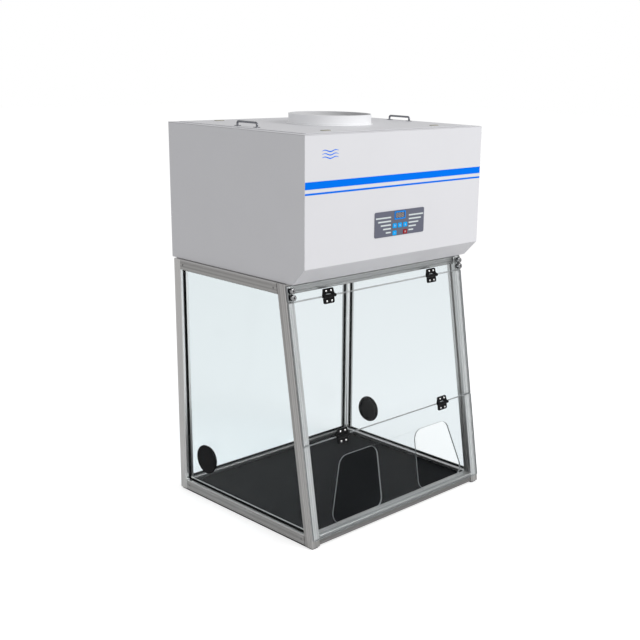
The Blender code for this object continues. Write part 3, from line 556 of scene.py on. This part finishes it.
def hinges():
    """Eight leaves: black moulded plates with rounded corners and round knuckles."""
    leaves = (("strip_leaf", "hood", 0.0, 1), ("window_leaf", "window", 0.0, -1),
              ("window_foot_leaf", "window", -FLAP_DROP, 1), ("flap_leaf", "flap", -FLAP_DROP, -1))
    head = [(0, 0), (0.0042, 0), (0.0042, 0.0006), (0.0032, 0.0014), (0, 0.0016)]
    for side, sign in SIDES:
        for leaf, body, height, ends in leaves:
            name = f"{leaf}_{side}"
            place = on_slope(sign * HINGE_X, height, 0)
            add(f"{name}_moulded", hinge_leaf(ends), "hinge", body, place, 0.0005, [name])
        for row, body, height in (("window", "hood", 0.0), ("flap", "window", -FLAP_DROP)):
            for end, way in (("a", -1), ("b", 1)):
                bm = bmesh.new()
                turned(bm, head, 24)
                place = (on_slope(sign * HINGE_X + way * (HINGE_HALF + SHOULDER + SKIN), height, 0)
                         @ Matrix.Rotation(way * pi / 2, 4, "Y"))
                add(f"pin_head_{row}_{side}_{end}", bm, "hinge", body, place)


def stand_offs():
    """Chrome caps that clamp the fixed strip to the front posts."""
    x_at, high_at, low_at = 0.340, 0.0302, 0.0124
    radius, tall, edge = 0.0080, 0.0102, 0.0016
    neck, neck_top, shoulder = radius * 0.93, 0.0012, 0.0018
    dish, dish_rim, dish_deep = 0.0030, 0.0036, 0.0006
    washer_thick, socket_radius, socket_deep = 0.0011, 0.0026, 0.0040
    for side, sign in SIDES:
        for level, height in (("high", high_at), ("low", low_at)):
            bm = bmesh.new()
            profile = [(0, 0), (neck, 0), (neck, neck_top), (radius, shoulder), (radius, tall - edge)]
            profile += [(radius - edge + r, tall - edge + h) for r, h in arc(edge, 0, 90, 5)]
            profile += [(dish_rim, tall), (dish, tall - dish_deep), (0, tall - dish_deep)]
            turned(bm, profile, 40)
            socket = bmesh.new()
            slab(socket, circle(socket_radius, 6), tall - socket_deep, tall + 0.001)
            place = on_slope(sign * x_at, height, SHEET_FACE + washer_thick)
            cap = carved(bm, socket)
            cap.materials.clear()
            cap.materials.append(LOOKS["chrome"])
            add_mesh(f"stand_off_{side}_{level}", cap, "chrome", "hood", place)
            washer = bmesh.new()
            slab(washer, circle(radius + 0.0007, 40), SKIN - washer_thick, -SKIN)
            add(f"stand_off_washer_{side}_{level}", washer, "rubber", "hood", place, 0.0003)
            # a black disc on the socket's floor: painted shade in the recess, not a part of the cap
            bottom = bmesh.new()
            slab(bottom, circle(socket_radius - 0.0002, 6), tall - socket_deep + 0.0001,
                 tall - socket_deep + 0.0006)
            add(f"stand_off_socket_{side}_{level}", bottom, "rubber", "hood", place)


def grub_screws():
    """Socket set screws in the side rails' cross holes."""
    inset, hole_depth = 0.014, 0.006
    for side, sign in SIDES:
        for level in ("bottom", "top"):
            low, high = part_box(f"{level}_rail_{side}")
            middle = (low.z + high.z) / 2
            lean = UP.y / UP.z
            front = low.y + (middle - low.z) * lean + inset
            for end, y in (("front", front), ("rear", high.y - inset)):
                bm = bmesh.new()
                slab(bm, circle(0.0027, 24), 0, hole_depth - 0.002, [circle(0.0013, 6)])
                x = sign * (high.x - low.x) / 2 + (low.x + high.x) / 2
                place = (Matrix.Translation((x - sign * (hole_depth - 0.0002), y, middle))
                         @ Matrix.Rotation(sign * pi / 2, 4, "Y"))
                add(f"set_screw_{level}_{side}_{end}", bm, "steel", "hood", place, 0.0002)


# ---- ports, duct and handles ------------------------------------------------------------------
def port_plugs():
    """Rubber plugs: a soft-edged flange with a ring groove, and a hollow barrel."""
    flange, barrel, wall, proud, through = 0.044, 0.0394, 0.0035, 0.0038, 0.010
    soft, lead, dip = 0.0016, 0.0012, 0.0004
    ring_in, ring_out, slope = 0.0387, 0.0405, 0.0005
    for side, sign in SIDES:
        low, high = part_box(f"port_plug_{side}")
        middle = (low + high) / 2
        seat = high.x - proud if sign > 0 else low.x + proud
        groove = [(ring_in, proud), (ring_in + slope, proud - dip), (ring_out - slope, proud - dip),
                  (ring_out, proud)]
        edge = [(flange - soft + r, proud - soft + h) for r, h in arc(soft, 90, 0, 5)]
        profile = [(0, proud - dip), (0.026, proud - dip / 2), *groove, *edge,
                   (flange, 0.0), (barrel, 0.0), (barrel, lead - through), (barrel - lead, -through),
                   (barrel - wall, -through), (barrel - wall, -0.001), (0, -0.001)]
        bm = bmesh.new()
        turned(bm, profile, 96)
        place = (Matrix.Translation((seat, middle.y, middle.z)) @ Matrix.Rotation(sign * pi / 2, 4, "Y"))
        add(f"plug_{side}_moulded", bm, "rubber", f"plug_{side}", place, 0, [f"port_plug_{side}"])


def duct_collar():
    """Spigot: a beaded foot flange, a straight wall and a rolled rim."""
    low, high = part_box("duct_collar")
    centre = (low + high) / 2
    tall, skin, lip, flange = high.z - low.z, 0.0015, 0.005, (high.x - low.x) / 2
    outer = flange - lip
    roll, plate, bead_at, bead_half = 0.0012, 0.0009, 0.0052, 0.0012
    profile = [(flange, 0), (flange, plate), (outer + 0.0012, 0.0016), (outer + 0.0002, 0.0026)]
    bead = arc(0.0011, -90, 90, 8, outer, bead_at)
    profile += [(outer, bead_at - bead_half), *bead[1:-1], (outer, bead_at + bead_half),
                (outer, tall - 2 * roll)]
    profile += arc(roll, -30, 210, 10, outer - roll + 0.0004, tall - roll)
    profile += [(outer - skin, tall - 2.4 * roll), (outer - skin, 0)]
    bm = bmesh.new()
    turned(bm, profile, 144)
    place = Matrix.Translation((centre.x, centre.y, low.z))
    # the collar's paint is a lighter copy of the cabinet's white: painted light
    add("collar_spun", bm, "duct_paint_lit", "hood", place, 0, ["duct_collar"])
    rivet_ring = outer + 0.0032
    for number in range(6):
        angle = radians(30 + 60 * number)
        rivet = bmesh.new()
        turned(rivet, [(0, 0), (0.0016, 0), (0.0015, 0.0005), (0.0009, 0.0009), (0, 0.0010)], 16)
        spot = Matrix.Translation((rivet_ring * cos(angle), rivet_ring * sin(angle), plate + SKIN))
        add(f"collar_rivet_{number}", rivet, "nickel", "hood", place @ spot)


def lid_handles():
    """Chrome bow handles on screwed foot plates, in a darker copy of the chrome with painted shade."""
    wire, corner, plate = 0.003, 0.0055, (0.014, 0.016)
    for side in ("left", "right"):
        low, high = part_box(f"lid_handle_{side}")
        middle = (low + high) / 2
        half = (high.y - low.y) / 2 - wire
        tall = high.z - low.z - wire
        path = [(-half, 0.0), (-half, tall - corner)]
        path += arc(corner, 180, 90, 7, corner - half, tall - corner)[1:]
        path += arc(corner, 90, 0, 7, half - corner, tall - corner)
        path += [(half, 0.0)]
        bm = bmesh.new()
        swept(bm, path, wire, 20)
        for end in (-1, 1):
            y = end * (half - 0.001)
            slab(bm, rounded_box(*plate, 0.003, 0, y), 0.0, 0.0014)
        place = Matrix.Translation((middle.x, middle.y, low.z))
        add(f"handle_{side}_bow", bm, "handle", "hood", place, 0.0003, [f"lid_handle_{side}"])


def lid_pads():
    """Four small grey stick-on pads on the lid."""
    low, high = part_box("service_lid")
    x_at, front_at, rear_at = 0.215, 0.047, 0.040
    long, wide, corner, thick = 0.030, 0.012, 0.003, 0.0016
    for side, sign in SIDES:
        for end, y in (("front", low.y + front_at), ("rear", high.y - rear_at)):
            bm = bmesh.new()
            slab(bm, rounded_box(long, wide, corner), 0, thick)
            place = Matrix.Translation((sign * x_at, y, high.z + SKIN))
            add(f"lid_pad_{side}_{end}", bm, "pad", "hood", place, 0.0004)


# ---- print on the front --------------------------------------------------------------------------
def on_face(x, z, out=0.0):
    """A frame on the cover's front: X across, Y up, Z out of it."""
    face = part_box("front_cover")[0].y
    return Matrix.Translation((x, face - out, z)) @ Matrix.Rotation(pi / 2, 4, "X")


def stripes():
    """A broad and a narrow blue band across the cover."""
    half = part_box("front_cover")[1].x - 0.0008
    for name, z, tall in (("stripe_broad", 0.983, 0.0190), ("stripe_narrow", 0.9615, 0.0050)):
        bm = bmesh.new()
        slab(bm, rounded_box(2 * half, tall, 0.0006), 0, 0.0002)
        add(name, bm, "stripe", "hood", on_face(0, z, SKIN))


def airflow_mark():
    """A generic airflow sign: three wavy bars."""
    x_at, z_at, pitch = -0.262, 1.059, 0.0085
    width, wave, waves, half, steps = 0.058, 0.0022, 1.5, 0.0014, 24
    for number in range(3):
        bm = bmesh.new()
        upper, lower = [], []
        for k in range(steps + 1):
            x = width * (k / steps - 0.5)
            y = wave * sin(2 * pi * waves * k / steps)
            taper = half * sin(pi * min(max(k / steps, 0.03), 0.97)) ** 0.5
            upper.append((x, y + taper))
            lower.append((x, y - taper))
        slab(bm, lower + upper[::-1], 0, 0.0002)
        place = on_face(x_at, z_at + (number - 1) * pitch, SKIN)
        add(f"airflow_bar_{number}", bm, "stripe", "hood", place)


SEGMENTS = {"a": (0, 1, 0), "b": (0.5, 0.5, 1), "c": (0.5, -0.5, 1), "d": (0, -1, 0),
            "e": (-0.5, -0.5, 1), "f": (-0.5, 0.5, 1), "g": (0, 0, 0)}


def digit(bm, x, y, wide, tall, stroke):
    """A seven-segment figure, all seven segments drawn."""
    for across, up, upright in SEGMENTS.values():
        long = (tall / 2 if upright else wide) - stroke * 1.15
        cx, cy = x + across * wide, y + up * tall / 2
        a, b = long / 2, stroke / 2
        outline = [(-a, 0), (-a + b, -b), (a - b, -b), (a, 0), (a - b, b), (-a + b, b)]
        if upright:
            outline = [(-q, p) for p, q in outline]
        slab(bm, [(cx + p, cy + q) for p, q in outline], 0, 0.0001)


def control_print():
    """Display frame, figures and indicator bars."""
    low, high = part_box("control_overlay")
    x, z = (low.x + high.x) / 2, (low.z + high.z) / 2
    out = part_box("front_cover")[0].y - low.y
    shown_low, shown_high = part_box("display_window")
    dx, dz = (shown_low.x + shown_high.x) / 2, (shown_low.z + shown_high.z) / 2
    wide, tall = shown_high.x - shown_low.x, shown_high.z - shown_low.z
    bm = bmesh.new()
    inset, border = 0.0004, 0.0036
    inner_cut = inset + 2 * border
    slab(bm, rounded_box(wide - inset, tall - inset, 0.002), 0, 0.0002,
         [rounded_box(wide - inner_cut, tall - inner_cut, 0.001)[::-1]])
    window_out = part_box("front_cover")[0].y - shown_low.y
    add("display_frame", bm, "frame_print", "hood", on_face(dx, dz, window_out + SKIN))
    bm = bmesh.new()
    figure_pitch = 0.0110
    for number in (-1, 0, 1):
        digit(bm, number * figure_pitch, 0.0, wide=0.0068, tall=0.0118, stroke=0.0014)
    add("display_figures", bm, "digit", "hood", on_face(dx, dz, window_out + SKIN))

    first, pitch, thick = 0.0176, -0.01035, 0.0040
    inner, reaches = 0.036, (0.096, 0.087, 0.0765, 0.067, 0.056)
    for row, reach in enumerate(reaches):
        for side, sign in SIDES:
            bm = bmesh.new()
            middle = sign * (inner + reach) / 2
            slab(bm, rounded_box(reach - inner, thick, 0.0012), 0, 0.00015)
            add(f"level_{side}_{row}", bm, "print", "hood",
                on_face(x + middle, z + first + row * pitch, out + SKIN))


def ring(outer, inner, segments=24):
    bm = bmesh.new()
    slab(bm, circle(outer, segments), 0, 0.0001, [circle(inner, segments)])
    return bm


def key_signs():
    """White signs on the keys: a ring with a bar, a plus, a lamp, a minus and a square."""
    def bar(bm, wide, tall, x=0.0, y=0.0):
        slab(bm, rounded_box(wide, tall, min(wide, tall) * 0.3, x, y, 3), 0, 0.0001)

    signs = {}
    signs["key_power"] = ring(0.0026, 0.0019)
    bar(signs["key_power"], 0.0008, 0.0034, 0, 0.0022)
    signs["key_fan_up"] = bmesh.new()
    bar(signs["key_fan_up"], 0.0052, 0.0010)
    bar(signs["key_fan_up"], 0.0010, 0.0020, 0, 0.0016)
    bar(signs["key_fan_up"], 0.0010, 0.0020, 0, -0.0016)
    signs["key_lamp"] = ring(0.0016, 0.0008)
    for k in range(8):
        angle = 2 * pi * k / 8
        slab(signs["key_lamp"], circle(0.00035, 8, 0.0027 * cos(angle), 0.0027 * sin(angle)), 0, 0.0001)
    signs["key_fan_down"] = bmesh.new()
    bar(signs["key_fan_down"], 0.0052, 0.0010)
    signs["key_stop"] = ring(0.0026, 0.0019)
    bar(signs["key_stop"], 0.0018, 0.0018)
    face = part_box("front_cover")[0].y
    for name, bm in signs.items():
        low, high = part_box(name)
        place = on_face((low.x + high.x) / 2, (low.z + high.z) / 2, face - low.y + SKIN)
        add(f"{name}_sign", bm, "print", f"{name}_cap", place)


def inlet_pins():
    """Three blades in the mains inlet."""
    low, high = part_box("power_inlet")
    x, z = (low.x + high.x) / 2, (low.z + high.z) / 2
    for name, dx, dz in (("live", -0.0055, -0.002), ("neutral", 0.0055, -0.002), ("earth", 0.0, 0.003)):
        bm = bmesh.new()
        slab(bm, rounded_box(0.0020, 0.0040, 0.0004), 0, 0.011)
        place = Matrix.Translation((x + dx, high.y - 0.0165, z + dz)) @ Matrix.Rotation(-pi / 2, 4, "X")
        add(f"inlet_pin_{name}", bm, "nickel", "hood", place, 0.0003)


# ---- studio ------------------------------------------------------------------------------------
AMBIENT = 0.58                   # how strongly the sky shines on the object
FLOOR_GLOW = 0.62                # what lifts the floor to near white where it is looked at


def brighten(stage, strength, gain, base=0.0):
    """Make the backdrop brighter where it is looked at, past or through the object, than it
    shines on the object."""
    nodes, links = stage.node_tree.nodes, stage.node_tree.links
    path = nodes.new("ShaderNodeLightPath")
    seen = nodes.new("ShaderNodeMath")
    seen.operation = "MAXIMUM"
    links.new(path.outputs["Is Camera Ray"], seen.inputs[0])
    links.new(path.outputs["Is Transmission Ray"], seen.inputs[1])
    lift = nodes.new("ShaderNodeMath")
    lift.operation = "MULTIPLY_ADD"
    lift.inputs[1].default_value = gain
    lift.inputs[2].default_value = base
    links.new(seen.outputs[0], lift.inputs[0])
    links.new(lift.outputs[0], strength)


def studio():
    """Pale floor, even sky and one broad soft lamp in front."""
    bm = bmesh.new()
    slab(bm, rounded_box(40, 40, 4), -0.02, -0.0005)
    mesh = bpy.data.meshes.new("floor")
    bmesh.ops.recalc_face_normals(bm, faces=bm.faces)
    bm.to_mesh(mesh)
    bm.free()
    floor = bpy.data.objects.new("floor", mesh)
    bpy.context.collection.objects.link(floor)
    pale = plain("pale_floor", (0.70, 0.70, 0.70), 0.9, 0.0, Specular_IOR_Level=0.0,
                 Emission_Color=(1, 1, 1, 1))
    brighten(pale, pale.node_tree.nodes["Principled BSDF"].inputs["Emission Strength"], FLOOR_GLOW)
    mesh.materials.append(pale)

    world = bpy.data.worlds.new("studio")
    bpy.context.scene.world = world
    world.use_nodes = True
    soft = world.node_tree.nodes["Background"]
    soft.inputs["Color"].default_value = (1, 1, 1, 1)
    brighten(world, soft.inputs["Strength"], 1.0 - AMBIENT, AMBIENT)

    lamp = bpy.data.lights.new("key", "AREA")
    lamp.shape = "RECTANGLE"
    lamp.size, lamp.size_y = 2.6, 1.8
    lamp.energy = 105
    key = bpy.data.objects.new("key", lamp)
    where = Vector((1.3, -4.3, 2.9))
    key.location = where
    key.rotation_euler = (Vector((0, 0, 0.6)) - where).to_track_quat("-Z", "Y").to_euler()
    bpy.context.collection.objects.link(key)


def camera():
    """A long lens, a little above the cabinet, from the front left."""
    azimuth, elevation, roll = radians(-46.495), radians(15.698), radians(1.292)
    back = Vector((sin(azimuth) * cos(elevation), -cos(azimuth) * cos(elevation), sin(elevation)))
    level = (-back).cross(Vector((0, 0, 1))).normalized()
    over = level.cross(-back)
    right = level * cos(roll) + over * sin(roll)
    up = over * cos(roll) - level * sin(roll)
    lens = bpy.data.cameras.new("camera")
    lens.lens, lens.sensor_width = 59.043, 36.0
    lens.shift_x, lens.shift_y = -0.094, 0.047
    where = (-2.1285, -2.2281, 1.3043)
    made = bpy.data.objects.new("camera", lens)
    turn = Matrix((right, up, back)).transposed().to_4x4()
    made.matrix_world = Matrix.Translation(where) @ turn
    bpy.context.collection.objects.link(made)
    bpy.context.scene.camera = made


finish_nodes()
front_sheets()
hinges()
hinge_screws()
stand_offs()
grub_screws()
port_plugs()
duct_collar()
lid_handles()
lid_pads()
stripes()
airflow_mark()
control_print()
key_signs()
inlet_pins()
studio()
camera()

bpy.context.scene.view_settings.view_transform = "Standard"
